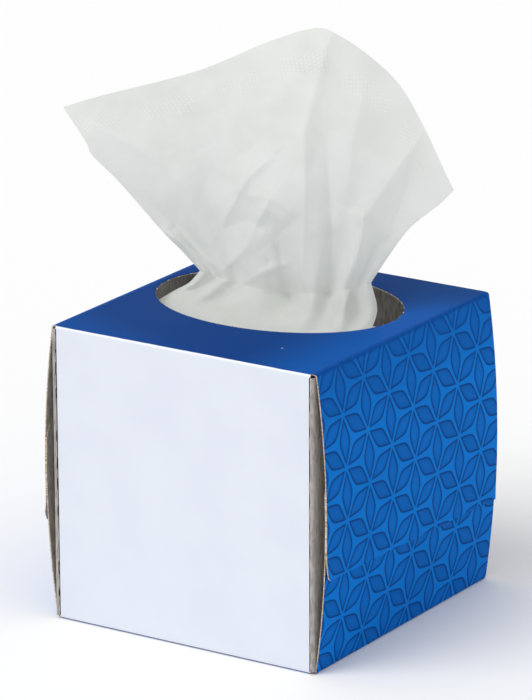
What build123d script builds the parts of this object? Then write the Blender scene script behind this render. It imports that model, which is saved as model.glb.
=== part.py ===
from build123d import *
import math
import os

# An upright cube box of facial tissues, in millimetres. X runs along the carton's tube from one glued end to
# the other, Y runs from the plain front panel to the back panel, and Z is up. The origin is the middle of the
# bottom panel, on the surface that the box stands on.

# Carton: one sheet of folding boxboard.
width = 118.0
depth = 126.0
height = 117.0
board = 0.45
crease_radius = 1.2
end_bulge = 4.4

# End flaps. The outer flap hinges at the top and is glued over the inner one, which hinges at the bottom.
outer_flap_front_length = 80.0
outer_flap_back_length = 85.0
outer_flap_corner_radius = 4.0
inner_flap_length = 78.0
inner_flap_corner_radius = 7.0
flap_side_gap = 0.9

# Dust flaps: the ends of the front and back panels, folded in behind the end flaps.
dust_flap_length = 50.0
dust_flap_taper = 9.0
dust_flap_gap = 1.0
dust_fold_clearance = 0.1
glue_flap_width = 14.0
glue_flap_end_margin = 8.0

# Dispensing hole, torn out of the top panel along a perforated oval.
hole_offset_x = -4.0
hole_offset_y = 11.0
hole_radius_x = 51.0
hole_radius_y = 38.0
nib_radius = 0.45
nib_count = 46

# Stack of interfolded sheets, bent over into an upside-down U.
stack_end_clearance = 5.5
stack_side_clearance = 10.0
stack_top_gap = 7.5
stack_thickness = 45.0
stack_shoulder_radius = 38.0
stack_fold_radius = 4.0

# Leading tissue: a pad that lies on the stack under the hole, and the fan that is pulled up through the hole.
tissue_thickness = 3.0
pad_thickness = 2.0
pad_seat_clearance = 0.3
pad_rim_margin = 5.0
throat_margin = 8.0
throat_squeeze = 5.0
throat_rise = 11.0
fan_left_reach = 37.0
fan_right_reach = 24.0
fan_rise = 110.0
fan_apex_offset = 20.0
fan_left_corner_rise = 71.0
fan_left_shoulder_rise = 83.0
fan_left_side_rise = 44.0
fan_right_corner_rise = 49.0
fan_right_shoulder_rise = 89.0
fan_sweep_front = 31.0
fan_sweep_back = 18.0
throat_sweep_share = 0.45

# Planes and edges that several features share.
dust_fold_x = width / 2 - 2 * board - dust_fold_clearance
tube_half_length = dust_fold_x - crease_radius
end_flap_half_width = depth / 2 - flap_side_gap
outer_flap_front_edge = height - outer_flap_front_length
outer_flap_back_edge = height - outer_flap_back_length


def end_region(inset: float, low: float, high: float) -> Sketch:
    """The area from the tube's end out to the bowed end face, pushed in by inset, between two heights."""
    fold_x = width / 2 - inset
    with BuildSketch() as region:
        with BuildLine():
            ThreePointArc((fold_x, 0), (fold_x + end_bulge, height / 2), (fold_x, height))
            Polyline((fold_x, height), (tube_half_length, height), (tube_half_length, 0), (fold_x, 0))
        make_face()
        with Locations((tube_half_length, low)):
            Rectangle(width, high - low, align=(Align.CENTER, Align.MIN), mode=Mode.INTERSECT)
    return region.sketch


# Outer end flap, with the strip of top panel that carries it round the crease.
with BuildSketch(Plane.XZ) as outer_flap_section:
    add(end_region(0, 0, height))
    top_corner = outer_flap_section.vertices().group_by(Axis.Y)[-1].sort_by(Axis.X)[-1]
    fillet(top_corner, crease_radius)
    with BuildSketch(mode=Mode.SUBTRACT) as outer_flap_hollow:
        add(end_region(board, 0, height - board))
        hollow_corner = outer_flap_hollow.vertices().group_by(Axis.Y)[-1].sort_by(Axis.X)[-1]
        fillet(hollow_corner, crease_radius - board)

with BuildPart() as outer_flap:
    extrude(outer_flap_section.sketch, amount=end_flap_half_width, both=True)
    with BuildSketch(Plane.YZ) as outer_flap_outline:
        with BuildLine():
            Polyline(
                (-end_flap_half_width, height),
                (-end_flap_half_width, outer_flap_front_edge),
                (end_flap_half_width, outer_flap_back_edge),
                (end_flap_half_width, height),
                close=True,
            )
        make_face()
        free_corner = outer_flap_outline.vertices().group_by(Axis.X)[0].sort_by(Axis.Y)[0]
        fillet(free_corner, outer_flap_corner_radius)
    extrude(amount=width, mode=Mode.INTERSECT)

# Inner end flap, with the strip of bottom panel that carries it round the crease.
with BuildSketch(Plane.XZ) as inner_flap_section:
    add(end_region(board, 0, height))
    bottom_corner = inner_flap_section.vertices().group_by(Axis.Y)[0].sort_by(Axis.X)[-1]
    fillet(bottom_corner, crease_radius)
    with BuildSketch(mode=Mode.SUBTRACT) as inner_flap_hollow:
        add(end_region(2 * board, board, height))
        hollow_corner = inner_flap_hollow.vertices().group_by(Axis.Y)[0].sort_by(Axis.X)[-1]
        fillet(hollow_corner, crease_radius - board)

with BuildPart() as inner_flap:
    extrude(inner_flap_section.sketch, amount=end_flap_half_width, both=True)
    with BuildSketch(Plane.YZ) as inner_flap_outline:
        Rectangle(2 * end_flap_half_width, inner_flap_length, align=(Align.CENTER, Align.MIN))
        fillet(inner_flap_outline.vertices().group_by(Axis.Y)[-1], inner_flap_corner_radius)
    extrude(amount=width, mode=Mode.INTERSECT)

# Front dust flap, with the strip of front panel that carries it round the crease.
with BuildPart() as dust_flap:
    with BuildSketch() as dust_flap_section:
        with Locations((tube_half_length, -depth / 2)):
            Rectangle(dust_fold_x - tube_half_length, dust_flap_length, align=Align.MIN)
        fillet(dust_flap_section.vertices().group_by(Axis.Y)[0].sort_by(Axis.X)[-1], crease_radius - board)
        with Locations((tube_half_length, -depth / 2 + board)):
            Rectangle(
                dust_fold_x - board - tube_half_length,
                dust_flap_length,
                align=Align.MIN,
                mode=Mode.SUBTRACT,
            )
    extrude(amount=height)
    with BuildSketch(Plane.YZ) as dust_flap_outline:
        with BuildLine():
            Polyline(
                (-depth / 2, dust_flap_gap),
                (-depth / 2 + dust_flap_length, dust_flap_gap + dust_flap_taper),
                (-depth / 2 + dust_flap_length, height - dust_flap_gap - dust_flap_taper),
                (-depth / 2, height - dust_flap_gap),
                close=True,
            )
        make_face()
    extrude(amount=width, mode=Mode.INTERSECT)

with BuildPart() as carton:
    with BuildSketch(Plane.YZ):
        with Locations((0, height / 2)):
            RectangleRounded(depth, height, crease_radius)
            RectangleRounded(depth - 2 * board, height - 2 * board, crease_radius - board, mode=Mode.SUBTRACT)
    extrude(amount=tube_half_length, both=True)

    for flap in (outer_flap, inner_flap, dust_flap):
        add(flap.part)
    add(mirror(dust_flap.part, about=Plane.XZ, mode=Mode.PRIVATE))
    mirror(about=Plane.YZ)

    # Inside flap that the tube is glued with, up the foot of the back panel.
    with BuildSketch(Plane.XZ.offset(-depth / 2 + board)):
        with Locations((0, board)):
            Rectangle(
                2 * (tube_half_length - glue_flap_end_margin),
                glue_flap_width,
                align=(Align.CENTER, Align.MIN),
            )
    extrude(amount=board)

    with BuildSketch(Plane.XY.offset(height)):
        with Locations((hole_offset_x, hole_offset_y)):
            Ellipse(hole_radius_x, hole_radius_y)
    extrude(amount=-2 * board, mode=Mode.SUBTRACT)

    # Nibs left by the perforation, evenly spaced round the hole.
    with BuildSketch(Plane.XY.offset(height - board)):
        for nib in range(nib_count):
            turn = 2 * math.pi * nib / nib_count
            nib_x = hole_offset_x + hole_radius_x * math.cos(turn)
            nib_y = hole_offset_y + hole_radius_y * math.sin(turn)
            with Locations((nib_x, nib_y)):
                Circle(nib_radius)
    extrude(amount=board)
carton.part.label = "carton"

# Stack of sheets: its legs stand on the bottom panel against the two ends, and its crown lies under the hole.
stack_half_width = width / 2 - stack_end_clearance
stack_top = height - stack_top_gap
stack_depth = depth - 2 * (board + stack_side_clearance)
with BuildPart() as tissue_stack:
    with BuildSketch(Plane.XZ) as stack_section:
        with Locations((0, board)):
            Rectangle(2 * stack_half_width, stack_top - board, align=(Align.CENTER, Align.MIN))
        fillet(stack_section.vertices().group_by(Axis.Y)[-1], stack_shoulder_radius)
        with Locations((0, board)):
            SlotOverall(
                2 * (stack_top - stack_thickness - board),
                2 * (stack_half_width - stack_thickness),
                rotation=90,
                mode=Mode.SUBTRACT,
            )
    extrude(amount=stack_depth / 2, both=True)
    fillet(tissue_stack.edges().filter_by(Axis.X).group_by(Axis.Z)[-1], stack_fold_radius)
tissue_stack.part.label = "tissue_stack"

# Leading tissue: the fan's outline seen from the front, cut out of a standing sheet that sweeps from the front
# left to the back right, joined to the pad that lies on the stack.
throat_left = hole_offset_x - hole_radius_x + throat_margin
throat_right = hole_offset_x + hole_radius_x - throat_margin
fan_left = throat_left - fan_left_reach
fan_right = throat_right + fan_right_reach
fan_middle = (throat_left + throat_right) / 2
pad_bottom = stack_top + pad_seat_clearance
throat_height = height + throat_rise
with BuildPart() as leading_tissue:
    with BuildSketch(Plane.XZ):
        with BuildLine():
            Spline(
                (fan_left, height + fan_left_corner_rise),
                (fan_left + fan_left_reach, height + fan_left_shoulder_rise),
                (fan_middle + fan_apex_offset, height + fan_rise),
                (throat_right + throat_squeeze, height + fan_right_shoulder_rise),
                (fan_right, height + fan_right_corner_rise),
            )
            Spline(
                (fan_right, height + fan_right_corner_rise),
                (throat_right - throat_squeeze, throat_height),
                (throat_right, pad_bottom),
            )
            Line((throat_right, pad_bottom), (throat_left, pad_bottom))
            Spline(
                (throat_left, pad_bottom),
                (throat_left + 2 * throat_squeeze, throat_height),
                (throat_left - fan_left_reach / 2, height + fan_left_side_rise),
                (fan_left, height + fan_left_corner_rise),
            )
        make_face()
    extrude(amount=depth / 2, both=True)
    with BuildSketch(Plane.XY.offset(pad_bottom)):
        front_edge = [
            (fan_left - tissue_thickness, hole_offset_y - fan_sweep_front),
            (throat_left, hole_offset_y - fan_sweep_front * throat_sweep_share),
            (fan_middle, hole_offset_y - tissue_thickness),
            (throat_right, hole_offset_y + fan_sweep_back * throat_sweep_share),
            (fan_right + tissue_thickness, hole_offset_y + fan_sweep_back),
        ]
        back_edge = [(x, y + tissue_thickness) for x, y in reversed(front_edge)]
        with BuildLine():
            Spline(front_edge)
            Line(front_edge[-1], back_edge[0])
            Spline(back_edge)
            Line(back_edge[-1], front_edge[0])
        make_face()
    extrude(amount=fan_rise + stack_top_gap, mode=Mode.INTERSECT)
    with BuildSketch(Plane.XY.offset(pad_bottom)):
        with Locations((hole_offset_x, hole_offset_y)):
            Ellipse(hole_radius_x - pad_rim_margin, hole_radius_y - pad_rim_margin)
    extrude(amount=pad_thickness)
leading_tissue.part.label = "leading_tissue"

os.makedirs("parts", exist_ok=True)
export_step(carton.part, "parts/carton.step")
export_step(tissue_stack.part, "parts/tissue_stack.step")
export_step(leading_tissue.part, "parts/leading_tissue.step")
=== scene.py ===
"""An upright cube box of facial tissues: a folded board carton, the stack of interfolded sheets in it and the
one sheet that is pulled up through the oval hole, ready to take.

Lengths are in millimetres until a mesh is written, in the part's own frame: X along the carton's tube, Y from
the plain front panel to the back panel, Z up, with the origin in the middle of the bottom panel.
"""

import logging
import math
from dataclasses import dataclass, field
from enum import Enum
from typing import Sequence

import bmesh
import bpy
import numpy as np
from mathutils import Matrix, Vector


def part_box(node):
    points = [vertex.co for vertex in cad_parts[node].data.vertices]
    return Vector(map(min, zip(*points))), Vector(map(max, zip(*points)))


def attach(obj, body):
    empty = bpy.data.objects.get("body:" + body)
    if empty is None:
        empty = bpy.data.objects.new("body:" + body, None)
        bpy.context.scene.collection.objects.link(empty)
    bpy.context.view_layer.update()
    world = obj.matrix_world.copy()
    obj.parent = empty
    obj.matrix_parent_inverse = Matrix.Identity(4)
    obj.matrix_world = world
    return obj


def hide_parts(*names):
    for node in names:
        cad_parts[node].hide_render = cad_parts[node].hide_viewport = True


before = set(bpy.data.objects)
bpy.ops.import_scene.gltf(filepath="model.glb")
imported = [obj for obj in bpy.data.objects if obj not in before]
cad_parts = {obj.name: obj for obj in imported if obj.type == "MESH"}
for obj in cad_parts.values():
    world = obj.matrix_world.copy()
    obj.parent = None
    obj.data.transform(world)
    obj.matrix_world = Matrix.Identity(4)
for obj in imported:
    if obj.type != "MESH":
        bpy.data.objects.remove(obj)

LOG = logging.getLogger("tissue_box")
MM = 0.001
SHEET_SIDE = 200.0
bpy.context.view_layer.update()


# ------------------------------------------------------------------------------------------ shader arithmetic


class Signal:
    """A number that changes over a surface: one output socket, with the usual arithmetic."""

    def __init__(self, tree: bpy.types.NodeTree, socket: bpy.types.NodeSocket) -> None:
        """Stands for one output socket.

        Args:
            tree: the node tree that holds it.
            socket: the output.
        """
        self.tree = tree
        self.socket = socket

    def math(self, operation: str, *others: "Signal | float") -> "Signal":
        """Puts this number through a Math node.

        Args:
            operation: the Math node's operation.
            others: the second and third operands, if it takes them.

        Returns:
            The node's result.
        """
        node = self.tree.nodes.new("ShaderNodeMath")
        node.operation = operation
        for slot, operand in enumerate((self, *others)):
            if isinstance(operand, Signal):
                self.tree.links.new(operand.socket, node.inputs[slot])
            else:
                node.inputs[slot].default_value = operand
        return Signal(self.tree, node.outputs[0])

    def __add__(self, other: "Signal | float") -> "Signal":
        """The sum."""
        return self.math("ADD", other)

    def __sub__(self, other: "Signal | float") -> "Signal":
        """The difference."""
        return self.math("SUBTRACT", other)

    def __mul__(self, other: "Signal | float") -> "Signal":
        """The product."""
        return self.math("MULTIPLY", other)

    def __truediv__(self, other: "Signal | float") -> "Signal":
        """The quotient."""
        return self.math("DIVIDE", other)

    def __abs__(self) -> "Signal":
        """The size without the sign."""
        return self.math("ABSOLUTE")

    def sine(self) -> "Signal":
        """The sine, of an angle in radians."""
        return self.math("SINE")

    def root(self) -> "Signal":
        """The square root."""
        return self.math("SQRT")

    def rounded(self) -> "Signal":
        """The nearest whole number."""
        return self.math("ROUND")

    def ramp(self, low: float, high: float) -> "Signal":
        """A smooth step: 0 at low and 1 at high. Low may be the larger one.

        Args:
            low: the value that gives 0.
            high: the value that gives 1.

        Returns:
            The stepped number.
        """
        node = self.tree.nodes.new("ShaderNodeMapRange")
        node.interpolation_type = "SMOOTHSTEP"
        self.tree.links.new(self.socket, node.inputs["Value"])
        flipped = high < low
        node.inputs["From Min"].default_value = high if flipped else low
        node.inputs["From Max"].default_value = low if flipped else high
        node.inputs["To Min"].default_value = 1.0 if flipped else 0.0
        node.inputs["To Max"].default_value = 0.0 if flipped else 1.0
        return Signal(self.tree, node.outputs["Result"])


def largest(first: Signal, second: Signal) -> Signal:
    """The larger of two signals."""
    return first.math("MAXIMUM", second)


Colour = tuple[float, float, float]
Outline = tuple[tuple[float, float, float], ...]


def from_display(red: int, green: int, blue: int) -> Colour:
    """A colour as a screen shows it, 0 to 255, made linear.

    Args:
        red: the red value.
        green: the green value.
        blue: the blue value.

    Returns:
        The linear colour.
    """
    def linear(value: int) -> float:
        """One channel made linear."""
        share = value / 255
        return share / 12.92 if share <= 0.04045 else ((share + 0.055) / 1.055) ** 2.4
    return linear(red), linear(green), linear(blue)


class Recipe:
    """One material being mixed: its tree, its Principled BSDF, and the parts that go into it."""

    def __init__(self, name: str, roughness: float = 0.6, specular: float = 0.4) -> None:
        """Starts a material.

        Args:
            name: the material's name.
            roughness: how matt it is.
            specular: how strongly it mirrors.
        """
        self.material = bpy.data.materials.new(name)
        self.material.use_nodes = True
        self.tree = self.material.node_tree
        self.shader = self.tree.nodes["Principled BSDF"]
        self.output = self.tree.nodes["Material Output"]
        self.shader.inputs["Roughness"].default_value = roughness
        self.shader.inputs["Specular IOR Level"].default_value = specular
        self.object_coordinates = self.tree.nodes.new("ShaderNodeTexCoord").outputs["Object"]

    def place(self) -> tuple[Signal, Signal, Signal]:
        """The point on the surface, as three lengths in millimetres."""
        split = self.tree.nodes.new("ShaderNodeSeparateXYZ")
        self.tree.links.new(self.object_coordinates, split.inputs[0])
        return tuple(Signal(self.tree, split.outputs[axis]) * (1 / MM) for axis in range(3))

    def group(self, tree: bpy.types.NodeTree,
              **inputs: "Signal | float | bpy.types.NodeSocket") -> bpy.types.Node:
        """Places a shared effect in this material.

        Args:
            tree: the node group.
            inputs: its inputs by name, with underscores for spaces.

        Returns:
            The group's node.
        """
        node = self.tree.nodes.new("ShaderNodeGroup")
        node.node_tree = tree
        for name, value in inputs.items():
            socket = node.inputs[name.replace("_", " ")]
            if isinstance(value, Signal):
                self.tree.links.new(value.socket, socket)
            elif isinstance(value, bpy.types.NodeSocket):
                self.tree.links.new(value, socket)
            else:
                socket.default_value = value
        return node

    def signal(self, socket: bpy.types.NodeSocket) -> Signal:
        """An output socket of this tree as a signal."""
        return Signal(self.tree, socket)

    def mix(self, share: Signal, under: "Colour | bpy.types.NodeSocket",
            over: "Colour | bpy.types.NodeSocket") -> bpy.types.NodeSocket:
        """Lays one colour over another.

        Args:
            share: how much of the upper colour shows, 0 to 1.
            under: the lower colour.
            over: the upper colour.

        Returns:
            The mixed colour's socket.
        """
        node = self.tree.nodes.new("ShaderNodeMix")
        node.data_type = "RGBA"
        self.tree.links.new(share.socket, node.inputs[0])
        for socket, colour in ((node.inputs[6], under), (node.inputs[7], over)):
            if isinstance(colour, bpy.types.NodeSocket):
                self.tree.links.new(colour, socket)
            else:
                socket.default_value = (*colour, 1.0)
        return node.outputs[2]

    def noise(self, scale: float, detail: float = 2.0, stretch: Sequence[float] = (1, 1, 1)) -> Signal:
        """Soft random variation over the surface, about 0.5.

        Args:
            scale: blotches to a metre.
            detail: the noise's octaves.
            stretch: how much finer it is along X, Y and Z.

        Returns:
            The noise.
        """
        turn = self.tree.nodes.new("ShaderNodeMapping")
        turn.inputs["Scale"].default_value = stretch
        self.tree.links.new(self.object_coordinates, turn.inputs["Vector"])
        node = self.tree.nodes.new("ShaderNodeTexNoise")
        node.inputs["Scale"].default_value = scale
        node.inputs["Detail"].default_value = detail
        self.tree.links.new(turn.outputs[0], node.inputs["Vector"])
        return self.signal(node.outputs["Fac"])

    def colour(self, socket: bpy.types.NodeSocket) -> None:
        """Wires the finished colour to the shader."""
        self.tree.links.new(socket, self.shader.inputs["Base Color"])

    def relief(self, height: Signal, depth: float, strength: float = 1.0) -> None:
        """Turns a height into a bumped normal.

        Args:
            height: the height, about 0 to 1.
            depth: what a height of 1 measures, in millimetres.
            strength: the Bump node's strength.
        """
        bump = self.tree.nodes.new("ShaderNodeBump")
        bump.inputs["Strength"].default_value = strength
        bump.inputs["Distance"].default_value = depth * MM
        self.tree.links.new(height.socket, bump.inputs["Height"])
        self.tree.links.new(bump.outputs[0], self.shader.inputs["Normal"])


class EffectGroup:
    """A shader node group being built, with named inputs and outputs."""

    def __init__(self, name: str, inputs: dict[str, float], outputs: dict[str, str]) -> None:
        """Starts a group.

        Args:
            name: the group's name.
            inputs: its number inputs and their defaults.
            outputs: its outputs and their socket types.
        """
        self.tree = bpy.data.node_groups.new(name, "ShaderNodeTree")
        for label, default in inputs.items():
            socket = self.tree.interface.new_socket(label, in_out="INPUT", socket_type="NodeSocketFloat")
            socket.default_value = default
        for label, kind in outputs.items():
            self.tree.interface.new_socket(label, in_out="OUTPUT", socket_type=kind)
        self.entry = self.tree.nodes.new("NodeGroupInput")
        self.exit = self.tree.nodes.new("NodeGroupOutput")

    def value(self, label: str) -> Signal:
        """One of the group's inputs."""
        return Signal(self.tree, self.entry.outputs[label])

    def put(self, label: str, signal: Signal) -> None:
        """Wires a signal to one of the group's outputs."""
        self.tree.links.new(signal.socket, self.exit.inputs[label])


# ------------------------------------------------------------------------------------------ mesh helpers


def write_mesh(name: str, points: np.ndarray, faces: Sequence[Sequence[int]],
               materials: Sequence[bpy.types.Material], slots: Sequence[int] = ()) -> bpy.types.Object:
    """Makes a mesh object from points in millimetres.

    Args:
        name: the piece's name.
        points: an array of points.
        faces: corner numbers of each face, turning left seen from outside.
        materials: the material slots.
        slots: each face's slot, or nothing for the first.

    Returns:
        The new object, at the origin.
    """
    mesh = bpy.data.meshes.new(name)
    mesh.from_pydata((np.asarray(points) * MM).tolist(), [], [list(map(int, face)) for face in faces])
    for material in materials:
        mesh.materials.append(material)
    if len(slots):
        mesh.polygons.foreach_set("material_index", list(map(int, slots)))
    mesh.polygons.foreach_set("use_smooth", [True] * len(mesh.polygons))
    mesh.update()
    piece = bpy.data.objects.new(name, mesh)
    bpy.context.scene.collection.objects.link(piece)
    return piece


def even_stations(half: float, count: int, crowding: float = 0.6) -> np.ndarray:
    """Stations from -half to half, closer together towards both ends.

    Args:
        half: the largest station.
        count: how many gaps.
        crowding: 0 for even gaps, 1 for a sine spacing.

    Returns:
        The stations.
    """
    share = np.linspace(-1, 1, count + 1)
    return half * ((1 - crowding) * share + crowding * np.sin(share * math.pi / 2))


# ------------------------------------------------------------------------------------------ carton finishes


class BoardFace(Enum):
    """The kinds of surface that the folded board shows, as material slots of the carton."""

    TUBE_PRINT = 0
    OUTER_FLAP_PRINT = 1
    INNER_FLAP_PRINT = 2
    RAW_INSIDE = 3
    CUT_EDGE = 4


def star_lattice() -> bpy.types.NodeTree:
    """The six-petal star lattice: how deep inside a petal a point lies, and which petals carry wavy lines.

    Stars stand in upright columns. A petal joins each star to each of its six neighbours, and the ribs are
    what the petals leave.

    Returns:
        The node group. Depth is in millimetres, under 0 on a rib. Waved is 1 on the petals that fall to the
        right, and Lean is the petal's own left-to-right place.
    """
    group = EffectGroup(
        "star_lattice",
        {"Across": 0.0, "Up": 0.0, "Column Gap": 16.0, "Rise": 20.4, "Rib": 0.6, "Petal Half Width": 4.2},
        {"Depth": "NodeSocketFloat", "Waved": "NodeSocketFloat", "Lean": "NodeSocketFloat",
         "Along": "NodeSocketFloat"},
    )
    across, up = group.value("Across"), group.value("Up")
    gap, rise = group.value("Column Gap"), group.value("Rise")
    half_rise = rise * 0.5
    slant_length = (gap * gap + half_rise * half_rise).root()

    def petal(aside: Signal, along: Signal, length: Signal) -> Signal:
        """Depth inside a petal with straight flanks, pointed ends and rounded shoulders."""
        share = abs(along) / (length * 0.5)
        bend = 0.22
        full = math.sqrt(1 + bend * bend)
        flank = (share * share + bend * bend).root()
        width = (flank * -1.0 + full) * group.value("Petal Half Width") * (1 / (full - bend))
        return (width - abs(aside)) * 0.93 - group.value("Rib")

    column = (across / gap).rounded()
    beside = across - column * gap
    upright_up = up - column * half_rise - half_rise
    upright_along = upright_up - (upright_up / rise).rounded() * rise
    upright = petal(beside, upright_along, rise)

    def slanted(sign: float) -> tuple[Signal, Signal, Signal]:
        """Depth, place across and place along, for the petals that rise (1) or fall (-1) to the right."""
        level = up - across * half_rise / gap * sign
        row = (level / rise).rounded()
        aside = (level - row * rise) * gap / slant_length
        travel = (across * gap + up * half_rise * sign) / slant_length
        start = row * rise * half_rise / slant_length * sign
        step = travel - start - slant_length * 0.5
        along = step - (step / slant_length).rounded() * slant_length
        return petal(aside, along, slant_length), aside, along

    rising, _, _ = slanted(1.0)
    falling, falling_aside, falling_along = slanted(-1.0)
    group.put("Depth", largest(largest(upright, rising), falling))
    group.put("Waved", falling.ramp(-0.05, 0.05))
    group.put("Lean", falling_aside)
    group.put("Along", falling_along)
    return group.tree


@dataclass(frozen=True)
class LatticePrint:
    """The blue star lattice printed on an end flap, with shaded petals that look pressed in."""

    name: str
    star_y: float
    star_z: float
    rise: float
    column_gap: float = 16.15
    rib_colour: Colour = from_display(0, 120, 214)
    petal_colour: Colour = from_display(0, 100, 190)
    line_colour: Colour = from_display(0, 58, 122)
    fold_colour: Colour = from_display(0, 72, 152)
    height: float = 117.0

    def material(self, lattice: bpy.types.NodeTree) -> bpy.types.Material:
        """Mixes the print.

        Args:
            lattice: the star lattice group.

        Returns:
            The material.
        """
        recipe = Recipe(self.name, roughness=0.6, specular=0.04)
        x, y, z = recipe.place()
        side = x.ramp(-1.0, 1.0) * 2.0 - 1.0
        print_y = y * side
        stars = recipe.group(lattice, Across=print_y - self.star_y, Up=z - self.star_z,
                             Column_Gap=self.column_gap, Rise=self.rise)
        depth = recipe.signal(stars.outputs["Depth"])
        lean = recipe.signal(stars.outputs["Lean"])
        along = recipe.signal(stars.outputs["Along"])
        waved = recipe.signal(stars.outputs["Waved"])

        inside = depth.ramp(-0.12, 0.12)
        outline = depth.ramp(-0.25, 0.1) * depth.ramp(1.25, 0.25)
        glow = depth.ramp(0.3, 3.2)
        ripple = (lean * 1.0 + (along * 0.42).sine() * 1.5) * (2 * math.pi / 0.92)
        wave = ripple.sine().ramp(-0.2, 0.9) * waved * depth.ramp(0.5, 1.1)

        face = recipe.mix(inside, self.rib_colour, self.petal_colour)
        face = recipe.mix(glow * 0.35 * inside, face, self.rib_colour)
        face = recipe.mix(wave * 0.42, face, self.line_colour)
        face = recipe.mix(outline * 0.85, face, self.line_colour)
        under_fold = z.ramp(self.height - 32.0, self.height - 1.0)
        face = recipe.mix(under_fold * 0.40, face, self.fold_colour)
        edge = z.ramp(self.height - 1.8, self.height - 0.2)
        face = recipe.mix(edge * 0.9, face, self.fold_colour)
        patches = recipe.noise(28.0, 3.0)
        face = recipe.mix(patches.ramp(0.35, 0.75) * 0.10, face, self.line_colour)
        recipe.colour(face)
        grain = recipe.noise(900.0, 3.0)
        recipe.relief(grain * 0.35 + (inside * -1.0 + 1.0), 0.05, 0.6)
        return recipe.material


@dataclass(frozen=True)
class TubePrint:
    """The tube's outer print: plain pale front panel, deep blue top, bottom and back panels, with a painted
    highlight along the front panel's top crease and painted light and shade on the blue top.
    """

    depth: float
    height: float
    half_length: float
    pale_colour: Colour = from_display(224, 229, 239)
    crease_highlight_and_speck_colour: Colour = from_display(246, 248, 252)
    blue_colour: Colour = from_display(0, 58, 128)
    lighter_blue_and_painted_light: Colour = from_display(0, 84, 168)
    painted_shade_blue: Colour = from_display(0, 56, 116)

    def material(self) -> bpy.types.Material:
        """Mixes the print, with the border between pale and blue along the long creases."""
        recipe = Recipe("tube_print", roughness=0.6, specular=0.04)
        x, y, z = recipe.place()
        front = y * -1.0 - self.depth / 2
        over_top = front - (z - self.height)
        over_foot = front + z
        wobble = recipe.noise(160.0, 2.0) - 0.5
        pale = (over_top + wobble * 0.5).ramp(-0.75, -0.45) * (over_foot + wobble * 0.4).ramp(0.15, 0.45)

        blue = recipe.mix(x.ramp(18.0, self.half_length + 2.0), self.blue_colour, self.lighter_blue_and_painted_light)
        # Painted shade: the blue darkens towards the back right, away from the key lamp.
        back = y.ramp(20.0, self.depth / 2) * x.ramp(-20.0, 30.0)
        blue = recipe.mix(back * 0.55, blue, self.painted_shade_blue)
        # Painted light: the blue lightens towards the front left, on the key lamp's side.
        blue = recipe.mix((y * -1.0 + x * -0.4).ramp(52.0, 84.0) * 0.5, blue, self.lighter_blue_and_painted_light)
        fibre = recipe.noise(420.0, 4.0)
        blue = recipe.mix(fibre.ramp(0.55, 0.9) * 0.12, blue, self.lighter_blue_and_painted_light)
        specks = recipe.noise(310.0, 1.0).ramp(0.80, 0.83)
        blue = recipe.mix(specks * 0.5, blue, self.crease_highlight_and_speck_colour)

        cloud = recipe.noise(45.0, 3.0)
        white = recipe.mix(cloud.ramp(0.3, 0.75) * 0.6, self.pale_colour, from_display(218, 223, 235))
        # Painted highlight: a lighter band along the front panel's top crease stands in for the light the
        # rounded crease catches; the same near-white colour also makes the white specks in the blue.
        crease = over_top.ramp(-0.8, -0.2) * over_top.ramp(1.0, 0.2)
        white = recipe.mix(crease * 0.8, white, self.crease_highlight_and_speck_colour)
        recipe.colour(recipe.mix(pale, blue, white))
        grain = recipe.noise(700.0, 4.0)
        swell = recipe.noise(16.0, 1.0)
        recipe.relief(grain * 0.05 + swell, 0.35, 0.5)
        return recipe.material


@dataclass(frozen=True)
class RawBoard:
    """The carton's unprinted side: recycled grey board with visible fibres."""

    base: Colour = from_display(176, 171, 166)
    dark: Colour = from_display(140, 134, 128)

    def material(self) -> bpy.types.Material:
        """Mixes the grey board."""
        recipe = Recipe("raw_grey_board", roughness=0.85, specular=0.2)
        fibre = recipe.noise(900.0, 5.0, (1.0, 1.0, 0.25))
        cloud = recipe.noise(60.0, 3.0)
        colour = recipe.mix(fibre.ramp(0.35, 0.7), self.base, self.dark)
        colour = recipe.mix(cloud.ramp(0.4, 0.7) * 0.3, colour, from_display(190, 184, 176))
        recipe.colour(colour)
        recipe.relief(fibre, 0.05, 0.6)
        return recipe.material


@dataclass(frozen=True)
class CutEdge:
    """The sheared edge of the board: cream and brown plies."""

    cream: Colour = from_display(214, 203, 186)
    brown: Colour = from_display(160, 140, 116)

    def material(self) -> bpy.types.Material:
        """Mixes the plies."""
        recipe = Recipe("cut_board_edge", roughness=0.9, specular=0.15)
        plies = recipe.noise(1400.0, 3.0, (0.3, 0.3, 1.0))
        recipe.colour(recipe.mix(plies.ramp(0.35, 0.65), self.cream, self.brown))
        recipe.relief(plies, 0.08, 0.7)
        return recipe.material


# ------------------------------------------------------------------------------------------ carton


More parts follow.
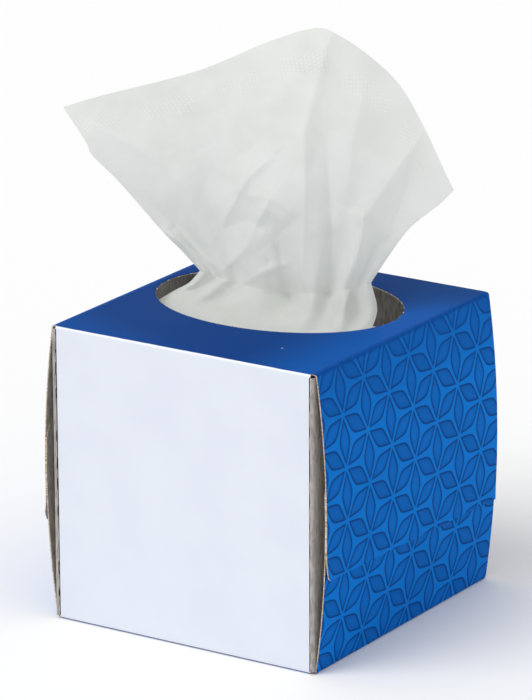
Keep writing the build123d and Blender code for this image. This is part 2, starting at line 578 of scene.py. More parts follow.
@dataclass
class Carton:
    """The carton, folded from one sheet of board: a tube with an oval hole, and four flaps at each end."""

    board: float = 0.45
    crease: float = 1.2
    bulge: float = 4.4
    hole_x: float = -4.0
    hole_y: float = 11.0
    hole_radius_x: float = 51.0
    hole_radius_y: float = 38.0
    outer_front_length: float = 80.0
    outer_back_length: float = 83.3
    outer_corner: float = 4.0
    inner_length: float = 78.0
    inner_corner: float = 7.0
    dust_length: float = 50.0
    dust_taper: float = 9.0
    width: float = field(init=False)
    depth: float = field(init=False)
    height: float = field(init=False)
    points: list[tuple[float, float, float]] = field(default_factory=list)
    faces: list[tuple[int, ...]] = field(default_factory=list)
    slots: list[int] = field(default_factory=list)

    def __post_init__(self) -> None:
        """Takes the overall sizes from the frame's carton."""
        low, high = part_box("carton")
        self.width = (high[0] - low[0]) / MM - 2 * self.bulge
        self.depth = (high[1] - low[1]) / MM
        self.height = (high[2] - low[2]) / MM
        self.dust_fold = self.width / 2 - 2 * self.board - 0.1
        self.half_tube = self.dust_fold - self.crease
        self.flat_x = even_stations(self.half_tube, 56)
        self.flat_y = even_stations(self.depth / 2 - self.crease, 64)
        self.flat_z = self.height / 2 + even_stations(self.height / 2 - self.crease, 56)

    def grid(self, rows: np.ndarray, slot: BoardFace, flip: bool = False) -> None:
        """Adds a grid of board, given as the points of its printed face.

        Args:
            rows: points as rows by columns by 3.
            slot: the print on it.
            flip: whether the faces turn the other way.
        """
        start = len(self.points)
        high, wide = rows.shape[:2]
        self.points.extend(map(tuple, rows.reshape(-1, 3)))
        for row in range(high - 1):
            for column in range(wide - 1):
                corner = start + row * wide + column
                face = (corner, corner + 1, corner + wide + 1, corner + wide)
                self.faces.append(face[::-1] if flip else face)
                self.slots.append(slot.value)

    def bowed_x(self, z: np.ndarray) -> np.ndarray:
        """How far out the bowed end face lies at a height."""
        half = self.height / 2
        radius = (half * half + self.bulge * self.bulge) / (2 * self.bulge)
        return self.width / 2 + self.bulge - radius + np.sqrt(radius**2 - (np.asarray(z) - half) ** 2)

    def tube(self) -> None:
        """The front, back and bottom panels and the four long creases."""
        half, high, bend = self.depth / 2, self.height, self.crease
        turn = np.linspace(0, math.pi / 2, 7)
        front = [(-half, z) for z in self.flat_z[::-1]]
        foot_front = [(-half + bend - bend * math.cos(t), bend - bend * math.sin(t)) for t in turn]
        foot = [(y, 0.0) for y in self.flat_y]
        foot_back = [(half - bend + bend * math.sin(t), bend - bend * math.cos(t)) for t in turn]
        back = [(half, z) for z in self.flat_z]
        top_back = [(half - bend + bend * math.cos(t), high - bend + bend * math.sin(t)) for t in turn]
        top_front = [(-half + bend - bend * math.sin(t), high - bend + bend * math.cos(t)) for t in turn]
        outline = np.array(top_front + front[1:] + foot_front[1:] + foot[1:] + foot_back[1:] + back[1:]
                           + top_back[1:])
        rows = np.zeros((len(outline), len(self.flat_x), 3))
        rows[:, :, 0] = self.flat_x
        rows[:, :, 1:] = outline[:, None, :]
        self.grid(rows, BoardFace.TUBE_PRINT, flip=True)

    def top_panel(self) -> None:
        """The top panel: rings that pass from the oval hole to the panel's four edges."""
        half_y = self.flat_y[-1]
        edge = [(x, -half_y) for x in self.flat_x]
        edge += [(self.half_tube, y) for y in self.flat_y[1:]]
        edge += [(x, half_y) for x in self.flat_x[::-1][1:]]
        edge += [(-self.half_tube, y) for y in self.flat_y[::-1][1:]]
        edge = np.array(edge)
        offset = (edge - (self.hole_x, self.hole_y)) / (self.hole_radius_x, self.hole_radius_y)
        unit = offset / np.linalg.norm(offset, axis=1)[:, None]
        hole = unit * (self.hole_radius_x, self.hole_radius_y) + (self.hole_x, self.hole_y)
        shares = np.linspace(0, 1, 13) ** 1.5
        rows = np.zeros((len(shares), len(edge), 3))
        for row, share in enumerate(shares):
            rows[row, :, :2] = hole * (1 - share) + edge * share
        dip = np.exp(-6 * shares) * 0.35
        rows[:, :, 2] = self.height - dip[:, None]
        self.grid(rows, BoardFace.TUBE_PRINT, flip=True)

    def end_flap(self, side: int, outer: bool) -> None:
        """One end flap, from the tube round its crease and down the bowed face.

        Args:
            side: 1 for the +X end, -1 for the -X end.
            outer: True for the flap hinged at the top, False for the one hinged at the bottom.
        """
        y = self.flat_y
        half = y[-1]
        inset = 0.0 if outer else self.board
        if outer:
            seam = np.interp(y, (-half, half), (self.height - self.outer_front_length,
                                                self.height - self.outer_back_length))
            run = np.clip(self.outer_corner - (y + half), 0, None)
            reach = seam + self.outer_corner - np.sqrt(self.outer_corner**2 - run**2)
        else:
            run = np.clip(self.inner_corner - (half - np.abs(y)), 0, None)
            reach = self.inner_length - self.inner_corner + np.sqrt(self.inner_corner**2 - run**2)
        crease_z = self.height - self.crease
        edge_x = self.bowed_x(crease_z) - inset
        turn = np.linspace(0, math.pi / 2, 8)
        start_x = self.width / 2 - inset - self.crease
        rows = [np.stack([np.full_like(y, self.half_tube), y, np.full_like(y, self.height)], axis=1)]
        for angle in turn:
            x = start_x + (edge_x - start_x) * math.sin(angle)
            z = crease_z + self.crease * math.cos(angle)
            rows.append(np.stack([np.full_like(y, x), y, np.full_like(y, z)], axis=1))
        ends = reach if outer else self.height - reach
        lift_y = np.exp(-((y + half) / 7.0) ** 2)
        for share in np.linspace(0, 1, 49)[1:]:
            z = crease_z + (ends - crease_z) * share
            x = self.bowed_x(z) - inset
            if outer:
                x = x + 0.9 * lift_y * max(0.0, (share - 0.86) / 0.14) ** 2
                x = x + 0.25 * np.exp(-((y - half) / 9.0) ** 2) * max(0.0, (share - 0.9) / 0.1) ** 2
            rows.append(np.stack([x, y, z], axis=1))
        sheet = np.array(rows)
        if not outer:
            sheet[:, :, 2] = self.height - sheet[:, :, 2]
        sheet[:, :, 0] *= side
        slot = BoardFace.OUTER_FLAP_PRINT if outer else BoardFace.INNER_FLAP_PRINT
        self.grid(sheet, slot, flip=(side > 0) == outer)

    def dust_flap(self, side: int, front: bool) -> None:
        """One dust flap, folded in behind the end flaps.

        Args:
            side: 1 for the +X end, -1 for the -X end.
            front: True for the front panel's flap, False for the back panel's.
        """
        z = self.flat_z
        bend = self.crease - self.board
        half = self.depth / 2
        rows = [np.stack([np.full_like(z, self.half_tube), np.full_like(z, -half), z], axis=1)]
        for angle in np.linspace(0, math.pi / 2, 6):
            x = self.dust_fold - bend + bend * math.sin(angle)
            y = -half + bend - bend * math.cos(angle)
            rows.append(np.stack([np.full_like(z, x), np.full_like(z, y), z], axis=1))
        middle = self.height / 2
        for share in np.linspace(0, 1, 14)[1:]:
            y = -half + bend + (self.dust_length - bend) * share
            narrowed = middle + (z - middle) * (1 - share * self.dust_taper / middle)
            bow = 1.6 * share * np.sin(math.pi * z / self.height)
            rows.append(np.stack([self.dust_fold + bow, np.full_like(z, y), narrowed], axis=1))
        sheet = np.array(rows)
        sheet[:, :, 0] *= side
        if not front:
            sheet[:, :, 1] *= -1
        self.grid(sheet, BoardFace.TUBE_PRINT, flip=(side > 0) != front)

    def thicken(self) -> tuple[np.ndarray, list[tuple[int, ...]], list[int]]:
        """Joins the grids into one sheet and gives it the board's thickness, inwards.

        Returns:
            The points, the faces and each face's slot: print outside, raw board inside, cut edge round.
        """
        shell = bmesh.new()
        corners = [shell.verts.new(point) for point in self.points]
        for face, slot in zip(self.faces, self.slots):
            shell.faces.new([corners[corner] for corner in face]).material_index = slot
        bmesh.ops.remove_doubles(shell, verts=shell.verts, dist=0.004)
        bmesh.ops.dissolve_degenerate(shell, edges=shell.edges, dist=0.0005)
        shell.verts.index_update()
        shell.normal_update()
        outside = np.array([corner.co[:] for corner in shell.verts])
        normals = np.array([corner.normal[:] for corner in shell.verts])
        count = len(outside)
        faces, slots = [], []
        for face in shell.faces:
            loop = tuple(corner.index for corner in face.verts)
            faces.append(loop)
            slots.append(face.material_index)
            faces.append(tuple(corner + count for corner in loop[::-1]))
            slots.append(BoardFace.RAW_INSIDE.value)
        for edge in shell.edges:
            if edge.is_boundary:
                loop = edge.link_loops[0]
                first, second = loop.vert.index, loop.link_loop_next.vert.index
                faces.append((second, first, first + count, second + count))
                slots.append(BoardFace.CUT_EDGE.value)
        shell.free()
        return np.vstack([outside, outside - normals * self.board]), faces, slots

    def build(self, finishes: Sequence[bpy.types.Material]) -> bpy.types.Object:
        """Folds the carton.

        Args:
            finishes: the materials, in the order of BoardFace.

        Returns:
            The carton.
        """
        self.tube()
        self.top_panel()
        for side in (1, -1):
            self.end_flap(side, outer=True)
            self.end_flap(side, outer=False)
            self.dust_flap(side, front=True)
            self.dust_flap(side, front=False)
        points, faces, slots = self.thicken()
        piece = write_mesh("folded_carton", points, faces, finishes, slots)
        edges = bmesh.new()
        edges.from_mesh(piece.data)
        for edge in edges.edges:
            kinds = {face.material_index == BoardFace.CUT_EDGE.value for face in edge.link_faces}
            edge.smooth = len(kinds) < 2
        edges.to_mesh(piece.data)
        edges.free()
        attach(piece, "root")
        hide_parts("carton")
        return piece


@dataclass(frozen=True)
class RimNibs:
    """The torn nibs that the perforation leaves round the oval hole, set out by Geometry Nodes."""

    count: int = 46
    radius: float = 0.45
    drop: float = 0.5
    seed: int = 3

    def tree(self, board: bpy.types.Material) -> bpy.types.NodeTree:
        """Builds the node tree.

        Args:
            board: the nibs' material.

        Returns:
            The tree, with inputs Centre, Radii, Count, Nib Radius and Seed.
        """
        tree = bpy.data.node_groups.new("rim_nibs", "GeometryNodeTree")
        tree.interface.new_socket("Geometry", in_out="INPUT", socket_type="NodeSocketGeometry")
        for label, kind in (("Centre", "Vector"), ("Radii", "Vector"), ("Count", "Int"),
                            ("Nib Radius", "Float"), ("Seed", "Int")):
            tree.interface.new_socket(label, in_out="INPUT", socket_type="NodeSocket" + kind)
        tree.interface.new_socket("Geometry", in_out="OUTPUT", socket_type="NodeSocketGeometry")
        new, link = tree.nodes.new, tree.links.new
        entry, leave = new("NodeGroupInput"), new("NodeGroupOutput")
        ring, place = new("GeometryNodeCurvePrimitiveCircle"), new("GeometryNodeTransform")
        ring.inputs["Resolution"].default_value = 180
        ring.inputs["Radius"].default_value = 1.0
        spots, nib = new("GeometryNodeCurveToPoints"), new("GeometryNodeMeshIcoSphere")
        nib.inputs["Subdivisions"].default_value = 2
        torn = new("FunctionNodeRandomValue")
        torn.data_type = "FLOAT_VECTOR"
        torn.inputs[0].default_value = (0.5, 0.5, 0.35)
        torn.inputs[1].default_value = (1.2, 1.5, 0.7)
        copies, solid, dress = (new("GeometryNodeInstanceOnPoints"), new("GeometryNodeRealizeInstances"),
                                new("GeometryNodeSetMaterial"))
        dress.inputs["Material"].default_value = board
        link(ring.outputs["Curve"], place.inputs["Geometry"])
        link(entry.outputs["Centre"], place.inputs["Translation"])
        link(entry.outputs["Radii"], place.inputs["Scale"])
        link(place.outputs["Geometry"], spots.inputs["Curve"])
        link(entry.outputs["Count"], spots.inputs["Count"])
        link(entry.outputs["Nib Radius"], nib.inputs["Radius"])
        link(entry.outputs["Seed"], torn.inputs["Seed"])
        link(spots.outputs["Points"], copies.inputs["Points"])
        link(nib.outputs["Mesh"], copies.inputs["Instance"])
        link(torn.outputs[0], copies.inputs["Scale"])
        link(copies.outputs["Instances"], solid.inputs["Geometry"])
        link(solid.outputs["Geometry"], dress.inputs["Geometry"])
        link(dress.outputs["Geometry"], leave.inputs["Geometry"])
        return tree

    def build(self, carton: Carton, board: bpy.types.Material) -> bpy.types.Object:
        """Sets the nibs round the hole.

        Args:
            carton: the carton, for the hole's place and size.
            board: the nibs' material.

        Returns:
            The nibs.
        """
        piece = write_mesh("rim_nibs", np.zeros((1, 3)), [], [board])
        setting = piece.modifiers.new("rim_nibs", "NODES")
        setting.node_group = self.tree(board)
        values = {"Centre": (carton.hole_x * MM, carton.hole_y * MM, (carton.height - self.drop) * MM),
                  "Radii": (carton.hole_radius_x * MM, carton.hole_radius_y * MM, 1.0),
                  "Count": self.count, "Nib Radius": self.radius * MM, "Seed": self.seed}
        for socket in setting.node_group.interface.items_tree:
            if socket.name in values:
                setting[socket.identifier] = values[socket.name]
        evaluated = piece.evaluated_get(bpy.context.evaluated_depsgraph_get())
        mesh = bpy.data.meshes.new_from_object(evaluated)
        piece.modifiers.clear()
        piece.data = mesh
        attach(piece, "root")
        return piece


# ------------------------------------------------------------------------------------------ tissues


@dataclass(frozen=True)
class TissuePaper:
    """Soft white tissue paper, which lets some light through."""

    name: str = "tissue_paper"
    base: Colour = from_display(228, 230, 227)
    shade: Colour = from_display(214, 217, 212)
    lit_share: float = 0.34
    crimp_pitch: float = 2.3
    crimp_top: float = 7.0
    crimp_foot: float = 15.0
    crimp_soft_edge: float = 0.8
    crimp_group: float = 33.0

    def material(self) -> bpy.types.Material:
        """Mixes the paper, with the crimped dots in a band below the sheet's free edge."""
        recipe = Recipe(self.name, roughness=0.95, specular=0.05)
        uv = recipe.tree.nodes.new("ShaderNodeSeparateXYZ")
        recipe.tree.links.new(recipe.tree.nodes.new("ShaderNodeTexCoord").outputs["UV"], uv.inputs[0])
        across = recipe.signal(uv.outputs[0]) * SHEET_SIDE
        down = recipe.signal(uv.outputs[1]) * SHEET_SIDE
        turn = 2 * math.pi / self.crimp_pitch
        dots = ((across + down * 0.5) * turn).sine() * ((down - across * 0.2) * turn).sine()
        soft = self.crimp_soft_edge
        band = down.ramp(self.crimp_top, self.crimp_top + soft)
        band = band * down.ramp(self.crimp_foot, self.crimp_foot - soft)
        groups = (across * (2 * math.pi / self.crimp_group)).sine().ramp(-0.75, -0.55)
        crimp = dots.ramp(0.15, 0.6) * band * groups
        cloud = recipe.noise(70.0, 4.0)
        fibre = recipe.noise(1100.0, 4.0)
        colour = recipe.mix(cloud.ramp(0.35, 0.7) * 0.6, self.base, self.shade)
        recipe.colour(recipe.mix(crimp * 0.5, colour, from_display(244, 245, 243)))
        recipe.relief(fibre * 0.10 + cloud * 0.5 + crimp * 0.55, 0.35, 0.55)
        glow = recipe.tree.nodes.new("ShaderNodeBsdfTranslucent")
        glow.inputs["Color"].default_value = (0.86, 0.88, 0.85, 1.0)
        blend = recipe.tree.nodes.new("ShaderNodeMixShader")
        blend.inputs[0].default_value = self.lit_share
        recipe.tree.links.new(recipe.shader.outputs[0], blend.inputs[1])
        recipe.tree.links.new(glow.outputs[0], blend.inputs[2])
        recipe.tree.links.new(blend.outputs[0], recipe.output.inputs["Surface"])
        return recipe.material


@dataclass
class TissueStack:
    """The pack of interfolded sheets, bent over into an upside-down U, as nested layers."""

    layers: int = 15
    thickness: float = 45.0
    shoulder: float = 38.0
    least_fold: float = 4.0
    uneven: float = 0.5

    def layer_outline(self, half: float, top: float, foot: float, inset: float) -> np.ndarray:
        """One sheet's U, seen along the tube.

        Args:
            half: the stack's half depth.
            top: the crown's height.
            foot: the height of the stack's foot.
            inset: how far inside the outermost sheet it lies.

        Returns:
            Points (y, z) from the front foot over the crown to the back foot.
        """
        bend = max(self.shoulder - inset, self.least_fold)
        side, crown = half - inset, top - inset
        turn = np.linspace(0, math.pi / 2, 14)
        front = [(-side, z) for z in np.linspace(foot, crown - bend, 8)[:-1]]
        front += [(-side + bend - bend * math.cos(t), crown - bend + bend * math.sin(t)) for t in turn]
        back = [(-y, z) for y, z in front[::-1]]
        return np.array(front + back)

    def build(self, paper: bpy.types.Material) -> bpy.types.Object:
        """Bends the stack.

        Args:
            paper: the paper's material.

        Returns:
            The stack.
        """
        low, high = (np.array(corner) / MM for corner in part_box("tissue_stack"))
        half, top, foot = (high[1] - low[1]) / 2, high[2], low[2]
        gauge = self.thickness / self.layers
        draw = np.random.default_rng(5)
        points, faces = [], []
        for layer in range(self.layers):
            outer = self.layer_outline(half, top, foot, layer * gauge)
            inner = self.layer_outline(half, top, foot, (layer + 0.97) * gauge)
            left = low[0] + draw.uniform(0, self.uneven)
            right = high[0] - draw.uniform(0, self.uneven)
            start, wide = len(points), len(outer)
            for x, outline in ((left, outer), (right, outer), (right, inner), (left, inner)):
                points.extend((x, y, z) for y, z in outline)
            for ring in range(4):
                for step in range(wide - 1):
                    first = start + ring * wide + step
                    second = start + (ring + 1) % 4 * wide + step
                    faces.append((first, second, second + 1, first + 1))
            for step in (0, wide - 1):
                cap = [start + ring * wide + step for ring in range(4)]
                faces.append(tuple(cap[::-1] if step == 0 else cap))
        piece = write_mesh("interfolded_stack", np.array(points), faces, [paper])
        shape = bmesh.new()
        shape.from_mesh(piece.data)
        bmesh.ops.recalc_face_normals(shape, faces=shape.faces)
        for edge in shape.edges:
            edge.smooth = edge.calc_face_angle(0) < 0.6
        shape.to_mesh(piece.data)
        shape.free()
        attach(piece, "root")
        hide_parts("tissue_stack")
        return piece


@dataclass(frozen=True)
class FoldLine:
    """A ridge or a valley that runs across the sheet, seen from the front right corner of the box.

    Its path is in millimetres along the sheet as it faces that corner: to the right, then upwards.
    """

    path: tuple[tuple[float, float], ...]
    height: float
    left: float
    right: float

    def lift(self, across: np.ndarray, upward: np.ndarray) -> np.ndarray:
        """How far it lifts each point towards the viewer.

        Args:
            across: each point's place to the right.
            upward: each point's place upwards.

        Returns:
            The lifts, in millimetres.
        """
        nearest = np.full(across.shape, np.inf)
        side = np.zeros(across.shape)
        run = np.zeros(across.shape)
        count = len(self.path) - 1
        for step in range(count):
            (x0, z0), (x1, z1) = self.path[step], self.path[step + 1]
            dx, dz = x1 - x0, z1 - z0
            share = np.clip(((across - x0) * dx + (upward - z0) * dz) / (dx * dx + dz * dz), 0, 1)
            away_x, away_z = across - x0 - share * dx, upward - z0 - share * dz
            gap = np.hypot(away_x, away_z)
            closer = gap < nearest
            nearest = np.where(closer, gap, nearest)
            side = np.where(closer, dx * away_z - dz * away_x, side)
            run = np.where(closer, (step + share) / count, run)
        width = np.where(side > 0, self.left, self.right)
        rounded = np.sqrt(nearest**2 + 0.25) - 0.5
        ends = np.clip(np.minimum(run, 1 - run) / 0.18, 0, 1)
        return self.height * np.exp(-rounded / width) * (0.25 + 0.75 * ends)


def smooth_path(points: Sequence[Sequence[float]], count: int) -> np.ndarray:
    """A soft curve through points, walked at an even pace.

    Args:
        points: the points it passes.
        count: how many places to return.

    Returns:
        The places along it.
    """
    given = np.asarray(points, float)
    guides = np.vstack([2 * given[0] - given[1], given, 2 * given[-1] - given[-2]])
    share = np.linspace(0, 1, 12, endpoint=False)[:, None]
    spans = []
    for step in range(len(given) - 1):
        before, start, end, after = guides[step:step + 4]
        bend = 2 * before - 5 * start + 4 * end - after
        twist = 3 * start - before - 3 * end + after
        spans.append(0.5 * (2 * start + (end - before) * share + bend * share**2 + twist * share**3))
    curve = np.vstack([*spans, given[-1:]])
    run = np.concatenate([[0], np.cumsum(np.linalg.norm(np.diff(curve, axis=0), axis=1))])
    stations = np.linspace(0, run[-1], count)
    return np.stack([np.interp(stations, run, curve[:, axis]) for axis in range(3)], axis=1)


@dataclass
class LeadingTissue:
    """The sheet that stands up out of the hole: a fan, pinched at the throat, then spread over the stack."""

    flat: tuple[float, float] = (0.2, 0.2)
    across_count: int = 240
    fan_rows: int = 170
    throat_rows: int = 60
    hidden_rows: int = 60
    top_edge: Outline = ((-83.4, -17.8, 188.4), (-69.8, -12.4, 193.4), (-46.9, -2.1, 200.6),
                          (-34.1, 2.7, 205.2), (-22.3, 5.7, 210.8), (-9.5, 6.7, 217.4),
                          (1.5, 7, 222.3), (7.8, 7.6, 224.9),
                       (15.6, 9.4, 226.7), (20.3, 11, 225.4), (30.4, 15.3, 218.9), (42.6, 21.3, 206.6),
                       (51.6, 25.3, 189.9), (59.2, 28.2, 172.8), (62.6, 29.1, 166.1))
    left_edge: Outline = ((-83.4, -17.8, 188.4), (-75.1, -14.7, 175), (-73, -13.8, 170), (-63.2, -9.4, 159.3),
                        (-48.1, -2.7, 140.4), (-42, -0.1, 133.9), (-34.7, 2.5, 125.8))
    right_edge: Outline = ((62.6, 29.1, 166.1), (57.4, 27.6, 160.2), (47.9, 23.8, 151.4), (42.8, 21.3, 144.2),
                         (35.3, 17.7, 131.3), (33.6, 16.9, 128.1))
    throat: Outline = ((-34.7, 2.5, 125.8), (-18, 2, 124), (0, 3, 123), (18, 8, 124), (33.6, 16.9, 128.1))
    rim_row: Outline = ((-52, 10, 113), (-46, -6, 112.2), (-28, -20, 111.4), (-5, -25.5, 110.8),
                      (16, -24, 111.0), (34, -14, 111.6), (41, 4, 112.5))
    drape_clear: float = 2.5
    drape_foot: float = 5.0
    gather_depth: float = 5.0
    gather_turn: float = 0.28
    gather_start: float = 0.6
    settle_share: float = 0.12
    spread_share: float = 0.45
    drape_half: float = 49.0
    shoulder: float = 38.0
    folds: tuple[FoldLine, ...] = (
        FoldLine(((-19.2, 125.5), (-9.4, 134.7), (-4.7, 146.2), (-0.3, 152.9)), 4.0, 3.0, 8.0),
        FoldLine(((-9.5, 154.6), (-0.3, 152.9), (10.8, 145.8)), 2.2, 5.0, 2.5),
        FoldLine(((-19.2, 142.6), (-12.6, 155.4), (-8.8, 161.2), (-0.6, 168.2)), 2.2, 5.0, 2.2),
        FoldLine(((-19.2, 142.6), (-8.8, 145.3), (-3.0, 140.0)), -1.6, 3.0, 3.0),
        FoldLine(((20.0, 206.0), (12.2, 177.1), (12.2, 144.1), (11.4, 124.4), (16.4, 109.7)), 3.6, 7.0, 4.5),
        FoldLine(((24.0, 216.6), (19.5, 207.1), (18.8, 198.8)), 1.4, 3.0, 6.0),
        FoldLine(((56.7, 176.7), (49.8, 167.0), (45.1, 160.0), (35.4, 146.1)), 2.8, 4.0, 9.0),
        FoldLine(((34.3, 150.0), (34.3, 142.2), (31.0, 122.4), (26.0, 108.0)), 3.6, 3.0, 3.6),
        FoldLine(((52.9, 166.2), (47.0, 148.0), (43.0, 134.5)), -2.2, 4.0, 3.0),
        FoldLine(((21.0, 170.0), (22.5, 140.0), (21.0, 112.0)), -3.6, 4.0, 4.0),
        FoldLine(((2.0, 140.0), (4.0, 124.0), (9.0, 112.0)), -2.6, 4.0, 3.0),
        FoldLine(((-42.7, 141.6), (-36.3, 137.9), (-27.2, 131.9), (-19.6, 125.9)), 2.4, 1.2, 7.0),
        FoldLine(((-38.0, 118.0), (-27.0, 122.0), (-19.6, 125.9)), 1.8, 3.0, 1.6),
        FoldLine(((-18.4, 117.4), (-4.0, 125.0), (7.5, 129.4)), 2.2, 4.0, 2.6),
        FoldLine(((-26.2, 113.9), (-10.0, 116.5), (4.4, 117.4), (10.2, 114.3)), -1.8, 2.4, 2.4),
        FoldLine(((-78.0, 186.0), (-50.0, 172.0), (-25.0, 152.0)), 2.4, 12.0, 10.0),
        FoldLine(((-60.0, 160.0), (-40.0, 146.0), (-24.0, 134.0)), -2.0, 6.0, 8.0),
        FoldLine(((-20.0, 196.0), (-8.0, 178.0), (2.0, 158.0)), -1.8, 9.0, 9.0),
        FoldLine(((36.0, 200.0), (30.0, 172.0), (28.0, 150.0)), 1.8, 8.0, 8.0),
    )
    small_creases: int = 70
    face_turn: float = 32.9
    face_tilt: float = 17.5
    pleat_count: float = 5.2
    pleat_drift: float = 0.35
    pleat_depth: float = 2.0
    flat_margin_rows: int = 8
    fade_rows: float = 26.0

    def facing(self) -> tuple[np.ndarray, np.ndarray, np.ndarray]:
        """The directions right, up and towards the viewer that the fan's folds are given in."""
        turn, tilt = math.radians(self.face_turn), math.radians(self.face_tilt)
        right = np.array([math.cos(turn), math.sin(turn), 0.0])
        back = np.array([math.sin(turn) * math.cos(tilt), -math.cos(turn) * math.cos(tilt), math.sin(tilt)])
        return right, np.cross(back, right), back

    def patch(self, first: np.ndarray, last: np.ndarray, left: np.ndarray, right: np.ndarray) -> np.ndarray:
        """Fills four edge curves with a soft surface.

        Args:
            first: the upper row.
            last: the lower row.
            left: the left edge, downwards.
            right: the right edge, downwards.

        Returns:
            Points as rows by columns by 3.
        """
        down = np.linspace(0, 1, len(left))[:, None, None]
        over = np.linspace(0, 1, len(first))[None, :, None]
        ruled = (1 - down) * first[None] + down * last[None]
        sides = (1 - over) * left[:, None] + over * right[:, None]
        corners = ((1 - down) * ((1 - over) * first[0] + over * first[-1])
                   + down * ((1 - over) * last[0] + over * last[-1]))
        return ruled + sides - corners

    def drape(self, start: np.ndarray) -> np.ndarray:
        """The hidden part: over the stack's front shoulder and down between the stack and the front panel.

        Args:
            start: the row where it passes under the rim.

        Returns:
            The rows below that.
        """
        low, high = (np.array(corner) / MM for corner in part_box("tissue_stack"))
        centre_y = low[1] + self.shoulder
        centre_z = high[2] - self.shoulder
        reach = self.shoulder + self.drape_clear
        arc = reach * math.pi / 2
        first = np.where(start[:, 1] > centre_y, centre_y - start[:, 1],
                         reach * np.arcsin(np.clip((centre_y - start[:, 1]) / reach, -1, 1)))
        last = arc + centre_z - self.drape_foot
        spread = np.linspace(-self.drape_half, self.drape_half, len(start))
        rows = []
        for share in np.linspace(0, 1, self.hidden_rows + 1)[1:]:
            run = first + (last - first) * share
            angle = np.clip(run / reach, 0, math.pi / 2)
            y = centre_y - reach * np.sin(angle) - np.minimum(run, 0)
            z = centre_z + reach * np.cos(angle) - np.maximum(run - arc, 0)
            ease = min(1.0, share / self.settle_share)
            x = start[:, 0] + (spread - start[:, 0]) * min(1.0, share / self.spread_share)
            z = z + (start[:, 2] - (high[2] + self.drape_clear)) * (1 - ease)
            wave = self.gather_depth * np.sin(spread * self.gather_turn + self.gather_start) * ease
            rows.append(np.stack([x, y - np.abs(wave) * np.sin(angle), z], axis=1))
        return np.array(rows)

    def shape(self) -> np.ndarray:
        """The whole sheet, before its folds: fan, throat and drape."""
        count = self.across_count
        throat = smooth_path(self.throat, count)
        fan = self.patch(smooth_path(self.top_edge, count), throat,
                         smooth_path(self.left_edge, self.fan_rows),
                         smooth_path(self.right_edge, self.fan_rows))
        rim = smooth_path(self.rim_row, count)
        left = smooth_path((throat[0], (-42, 6, 119), rim[0]), self.throat_rows)
        right = smooth_path((throat[-1], (37.5, 15, 118.5), rim[-1]), self.throat_rows)
        below = self.patch(throat, rim, left, right)
        return np.concatenate([fan, below[1:], self.drape(rim)])

    def crease(self, rows: np.ndarray) -> np.ndarray:
        """Presses the folds and many small random creases into the sheet.

        Args:
            rows: the smooth sheet.

        Returns:
            The creased sheet.
        """
        right, up, back = self.facing()
        across, upward = rows @ right, rows @ up
        lift = sum(fold.lift(across, upward) for fold in self.folds)
        draw = np.random.default_rng(11)
        for _ in range(self.small_creases):
            x, z = draw.uniform(-45, 45), draw.uniform(104, 175)
            angle, length = draw.normal(math.pi / 2, 0.6), draw.uniform(6, 22)
            end = (x + length * math.cos(angle), z + length * math.sin(angle))
            small = FoldLine(((x, z), end), draw.uniform(-0.7, 0.7), draw.uniform(1, 4), draw.uniform(1, 4))
            lift = lift + small.lift(across, upward)
        share = np.arange(rows.shape[0])[:, None] / self.fan_rows
        down = np.clip(share, 0, 1) ** 1.6
        over = np.linspace(0, 1, rows.shape[1])[None, :]
        drift = self.pleat_drift * np.sin(7 * over)
        pleat = np.sin(2 * math.pi * (self.pleat_count * over + drift)) * self.pleat_depth * down
        shown = self.fan_rows + self.throat_rows
        above_rim = shown - self.flat_margin_rows - np.arange(rows.shape[0])
        fade = np.clip(above_rim / self.fade_rows, 0, 1)[:, None]
        return rows + ((lift + pleat) * fade)[..., None] * back

    def build(self, paper: bpy.types.Material) -> bpy.types.Object:
        """Lays and folds the sheet.

        Args:
            paper: the paper's material.

        Returns:
            The sheet.
        """
        rows = self.crease(self.shape())
        high, wide = rows.shape[:2]
        faces = [(corner, corner + wide, corner + wide + 1, corner + 1)
                 for row in range(high - 1) for corner in range(row * wide, row * wide + wide - 1)]
        piece = write_mesh("leading_sheet", rows.reshape(-1, 3), faces, [paper])
        layout = piece.data.uv_layers.new(name="sheet")
        corners = np.array([loop.vertex_index for loop in piece.data.loops])
        steps = np.linalg.norm(np.diff(rows, axis=0), axis=2).mean(axis=1)
        below = np.concatenate([[0], np.cumsum(steps)]) / SHEET_SIDE
        places = np.stack([corners % wide / wide, below[corners // wide]], axis=1)
        layout.data.foreach_set("uv", places.ravel())
        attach(piece, "root")
        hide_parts("leading_tissue")
        area = sum(face.area for face in piece.data.polygons)
        LOG.info("leading sheet: %.0f of %.0f square mm", area * 1e6, self.flat[0] * self.flat[1] * 1e6)
        return piece


# ------------------------------------------------------------------------------------------ stage


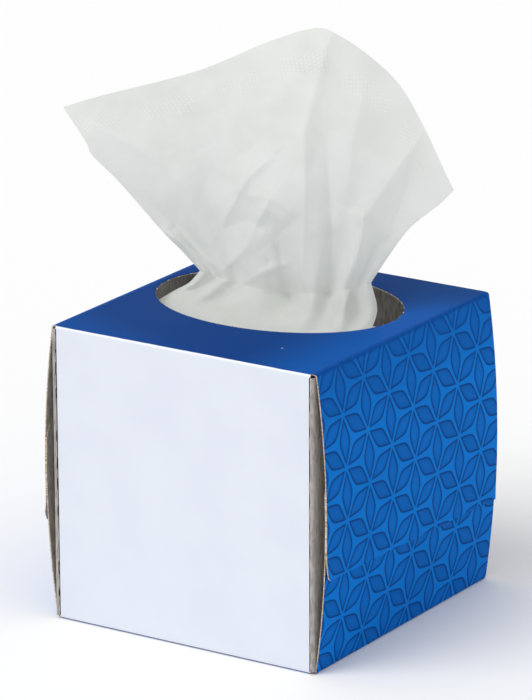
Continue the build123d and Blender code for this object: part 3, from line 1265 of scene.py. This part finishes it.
@dataclass(frozen=True)
class Studio:
    """The plain pale floor, the soft light and the camera."""

    azimuth: float = 32.905
    elevation: float = 17.458
    roll: float = -0.243
    distance: float = 2067.0
    aim_right: float = -2.95
    aim_up: float = 95.7
    lens: float = 274.7
    sensor: float = 36.0

    def camera(self) -> None:
        """Places the camera and makes it the scene's."""
        turn, tilt, roll = (math.radians(angle) for angle in (self.azimuth, self.elevation, self.roll))
        back = Vector((math.sin(turn) * math.cos(tilt), -math.cos(turn) * math.cos(tilt), math.sin(tilt)))
        level = Vector((math.cos(turn), math.sin(turn), 0.0))
        upright = back.cross(level)
        right = math.cos(roll) * level + math.sin(roll) * upright
        up = math.cos(roll) * upright - math.sin(roll) * level
        place = (back * self.distance + right * self.aim_right + up * self.aim_up) * MM
        data = bpy.data.cameras.new("view_camera")
        data.lens = self.lens
        data.sensor_width = self.sensor
        data.clip_end = 50.0
        camera = bpy.data.objects.new("view_camera", data)
        camera.matrix_world = Matrix.Translation(place) @ Matrix((right, up, back)).transposed().to_4x4()
        bpy.context.scene.collection.objects.link(camera)
        bpy.context.scene.camera = camera

    def sun(self, name: str, strength: float, spread: float, towards: Vector) -> None:
        """Adds one soft lamp.

        Args:
            name: the lamp's name.
            strength: its strength.
            spread: how wide it looks from the object, in degrees.
            towards: the direction from the object to the lamp.
        """
        data = bpy.data.lights.new(name, "SUN")
        data.energy = strength
        data.angle = math.radians(spread)
        lamp = bpy.data.objects.new(name, data)
        lamp.rotation_mode = "QUATERNION"
        lamp.rotation_quaternion = towards.to_track_quat("Z", "Y")
        bpy.context.scene.collection.objects.link(lamp)

    def world(self, strength: float) -> None:
        """Lights the scene from all round, and shows white behind it."""
        world = bpy.data.worlds.new("studio_world")
        bpy.context.scene.world = world
        world.use_nodes = True
        tree = world.node_tree
        soft = tree.nodes["Background"]
        soft.inputs["Color"].default_value = (1.0, 1.0, 1.0, 1.0)
        soft.inputs["Strength"].default_value = strength
        white = tree.nodes.new("ShaderNodeBackground")
        white.inputs["Color"].default_value = (1.0, 1.0, 1.0, 1.0)
        rays = tree.nodes.new("ShaderNodeLightPath")
        seen = tree.nodes.new("ShaderNodeMath")
        seen.operation = "MAXIMUM"
        mirrored = tree.nodes.new("ShaderNodeMath")
        mirrored.operation = "MAXIMUM"
        tree.links.new(rays.outputs["Is Camera Ray"], seen.inputs[0])
        tree.links.new(rays.outputs["Is Glossy Ray"], seen.inputs[1])
        tree.links.new(seen.outputs[0], mirrored.inputs[0])
        tree.links.new(rays.outputs["Is Transmission Ray"], mirrored.inputs[1])
        mix = tree.nodes.new("ShaderNodeMixShader")
        tree.links.new(mirrored.outputs[0], mix.inputs[0])
        tree.links.new(soft.outputs[0], mix.inputs[1])
        tree.links.new(white.outputs[0], mix.inputs[2])
        tree.links.new(mix.outputs[0], tree.nodes["World Output"].inputs["Surface"])

    def floor(self) -> None:
        """Lays the floor: one plain pale square."""
        recipe = Recipe("pale_floor", roughness=0.9, specular=0.1)
        recipe.shader.inputs["Base Color"].default_value = (0.97, 0.97, 0.97, 1.0)
        half = 8000.0
        corners = np.array([(-half, -half, 0), (half, -half, 0), (half, half, 0), (-half, half, 0)])
        floor = write_mesh("studio_floor", corners, [(0, 1, 2, 3)], [recipe.material])

    def build(self) -> None:
        """Sets up the whole studio."""
        bpy.context.scene.view_settings.view_transform = "Standard"
        self.camera()
        self.world(0.72)
        self.sun("key_light", 1.25, 40.0, Vector((-0.45, -0.75, 1.0)))
        self.floor()


# ------------------------------------------------------------------------------------------ main


def main() -> None:
    """Builds the box piece by piece."""
    logging.basicConfig(level=logging.INFO, format="%(name)s: %(message)s")
    Studio().build()
    LOG.info("studio ready")

    carton = Carton()
    lattice = star_lattice()
    finishes = [
        TubePrint(carton.depth, carton.height, carton.half_tube).material(),
        LatticePrint("outer_flap_print", 0.9, 87.9, 20.4).material(lattice),
        LatticePrint("inner_flap_print", 0.9, 30.0, 21.3).material(lattice),
        RawBoard().material(),
        CutEdge().material(),
    ]
    piece = carton.build(finishes)
    LOG.info("carton: %d faces", len(piece.data.polygons))
    nibs = RimNibs().build(carton, finishes[BoardFace.CUT_EDGE.value])
    LOG.info("rim nibs: %d faces", len(nibs.data.polygons))

    stack = TissueStack().build(TissuePaper("stacked_paper", lit_share=0.15).material())
    LOG.info("stack: %d faces", len(stack.data.polygons))
    sheet = LeadingTissue().build(TissuePaper().material())
    LOG.info("sheet: %d faces", len(sheet.data.polygons))


if __name__ == "__main__":
    main()
